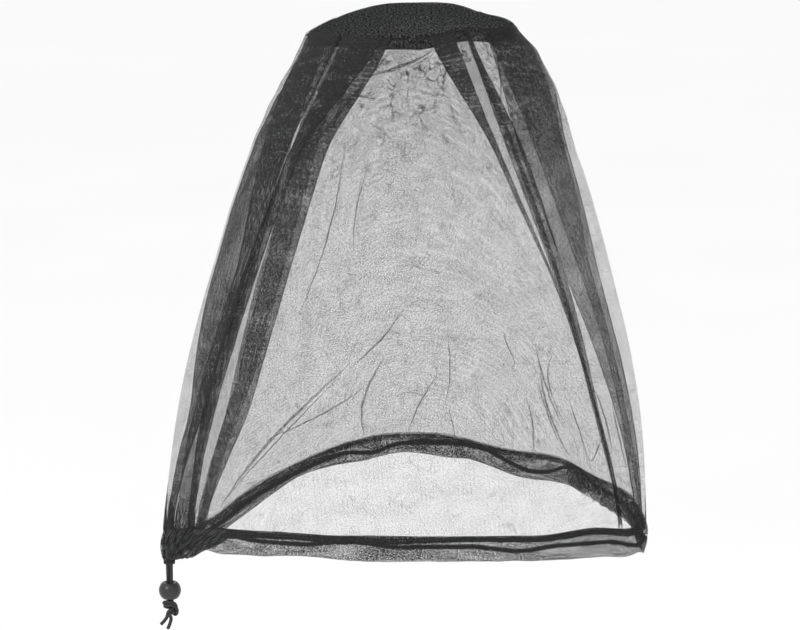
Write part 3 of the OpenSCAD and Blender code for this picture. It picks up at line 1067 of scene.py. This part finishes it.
def make_binding():
    """Thread wound round the funnel's foot."""
    turns, height, points_in_turn = 3, 1.2 * MM, 26
    a = np.linspace(0, turns * 2 * np.pi, turns * points_in_turn)
    line = np.stack([EXIT.x + 4.0 * MM * np.cos(a), EXIT.y + 2.8 * MM * np.sin(a),
                     EXIT.z + 0.3 * MM + height * (1 - a / a[-1])], -1)
    made = tube("cord_exit_binding", line, 0.3 * MM, THREAD, 8)
    place_on(made, "veil", "thread")


make_funnel()
make_binding()

# ---- the crown


def crown_height(r, t):
    """The crown's height: a low dome, whose edge droops to the wearer's sides."""
    share = r / CROWN_R
    return rim_height(t) * share**3 + 1.2 * MM * (1 - share**2)


def make_crown(name, offset, radius, seed, node):
    """A round of net on the crown, its edge turned down over the seam."""
    t = np.linspace(0, 360, 181)[:-1]
    radii = np.concatenate([np.linspace(0.0003, 0.97, 44) * radius, [radius * 0.99, radius]])
    r, tt = np.meshgrid(radii, t, indexing="ij")
    x, y = r * np.cos(np.radians(tt)), r * np.sin(np.radians(tt))
    flat = np.stack([x, y, 0 * x], -1)
    z = crown_height(r, tt) + offset + 0.5 * MM * noise_on(flat, 60, seed)
    z -= 1.3 * MM * smooth(r, radius * 0.965, radius)
    points = np.stack([x, y, z], -1)
    around = np.linspace(0, 360, 181)
    rr, ta = np.meshgrid(radii, around, indexing="ij")
    uv = np.stack([rr * np.cos(np.radians(ta)) + seed, rr * np.sin(np.radians(ta))], -1)
    cover = 0.86 + 0.12 * noise_on(points, 60, seed + 1) + 0.1 * smooth(r, radius * 0.93, radius)
    made = grid(name, points, uv, CROWN_NET, np.clip(cover, 0.3, 0.95), wrap=True)
    place_on(made, "veil", "crown_net", node)


make_crown("crown_net_outer", 0.7 * MM, CROWN_R + 0.9 * MM, 1.0, "crown_top_layer")
make_crown("crown_net_lining", -0.2 * MM, CROWN_R - 0.4 * MM, 2.0, "crown_lining")


def make_allowance():
    """The seam allowance of crown and net, which hangs down inside the seam."""
    t = np.linspace(0, 360, 241)[:-1]
    rows = []
    fold = np.linspace(0, 1, 8)
    for share in np.concatenate([fold, fold[::-1]]):
        inner = len(rows) >= len(fold)
        r = CROWN_R - (2.1 if inner else 1.0) * MM
        depth = ALLOWANCE_H + 1.0 * MM * noise_on(
            np.stack([np.cos(np.radians(t)), np.sin(np.radians(t)), 0 * t], -1), 4, 3.0)
        f = share * depth / (DROP - CASING_H)
        x = r * np.cos(np.radians(t)) * (1 + 0.55 * f)
        y = r * np.sin(np.radians(t)) * (1 + 0.1 * f)
        z = crown_height(r, t) - share * depth - 0.6 * MM
        flat = np.stack([x, y, z], -1)
        push = 0.5 * MM * noise_on(flat, 120, 4.0) * share
        rows.append(flat * (1 - push / CROWN_R)[:, None])
    points = np.array(rows)
    v = np.arange(len(rows)) * 1.3 * MM
    uv = np.stack(np.meshgrid(np.linspace(0, 2 * np.pi * CROWN_R, 241), v), -1)
    cover = 0.9 + 0.06 * noise_on(points, 70, 5.0)
    made = grid("crown_allowance", points, uv, CROWN_NET, cover, wrap=True)
    place_on(made, "veil", "crown_net", "crown_seam_allowance")


make_allowance()


def crown_stitches():
    t = np.linspace(0, 360, 150)[:-1]
    r = CROWN_R + 0.9 * MM
    rad = np.radians(t)
    z = crown_height(np.full_like(t, CROWN_R), t) - 0.9 * MM
    centres = np.stack([r * np.cos(rad), r * np.sin(rad), z], -1)
    headings = np.stack([-np.sin(rad), np.cos(rad), 0 * t], -1)
    normals = np.stack([np.cos(rad), np.sin(rad), 0 * t], -1)
    make_stitches("crown_stitches", centres, headings, normals, 2.3 * MM, "crown_seam_thread")


crown_stitches()


def make_join():
    """The seam that joins the net's two ends: a narrow bound strip."""
    f = np.linspace(0.01, 0.99, 150)
    seam = [fold[1] for fold in FOLDS if fold[0].endswith("_seam")]
    t = fold_angle(np.mean(seam, axis=0), f)
    base, normal = surface(f, t), outward(f, t)
    side = unit(np.cross(normal, np.gradient(base, axis=0)))
    width = (2.0 + 0.5 * noise_on(base, 40, 2.0)) * MM
    depth = -2.3 * layer_gap(f)
    rows = []
    for across, lift in ((-1, 0.0), (-0.5, 0.35), (0.5, 0.35), (1, 0.0), (0.5, -0.35),
                         (-0.5, -0.35)):
        rows.append(base + side * (across * width)[:, None]
                    + normal * (depth + lift * MM)[:, None])
    points = np.array(rows + rows[:1])
    uv = np.stack(np.meshgrid(run_of(base), np.arange(len(points)) * 1.2 * MM), -1)
    made = grid("net_join_strip", points, uv, NET_DENSE, np.full(points.shape[:2], 0.5))
    return place_on(made, "veil", "gathered_net", "net_join_seam")


join = make_join()

# ---- the studio

FLOOR_Z = -0.95
FLOOR_HALF = 8


def make_studio():
    """An even white room, a pale floor well below the veil and one soft lamp."""
    world = bpy.data.worlds.new("white_room")
    world.use_nodes = True
    world.node_tree.nodes["Background"].inputs["Color"].default_value = (1, 1, 1, 1)
    world.node_tree.nodes["Background"].inputs["Strength"].default_value = 1.0
    bpy.context.scene.world = world
    bpy.context.scene.view_settings.view_transform = "Standard"
    # Light passes through many layers of net.
    bpy.context.scene.cycles.transparent_max_bounces = 96
    corners = [(x * FLOOR_HALF, y * FLOOR_HALF, FLOOR_Z)
               for x, y in ((-1, -1), (1, -1), (1, 1), (-1, 1))]
    floor = link_mesh("floor", corners, [(0, 1, 2, 3)], FLOOR)
    lamp = bpy.data.lights.new("soft_key", "AREA")
    lamp.size = 0.9
    lamp.energy = 30
    key = bpy.data.objects.new("soft_key", lamp)
    key.location = (-1.6, -1.9, 1.3)
    aim = Vector((-0.1, 0, -0.25)) - key.location
    key.rotation_euler = aim.to_track_quat("-Z", "Y").to_euler()
    bpy.context.scene.collection.objects.link(key)


make_studio()
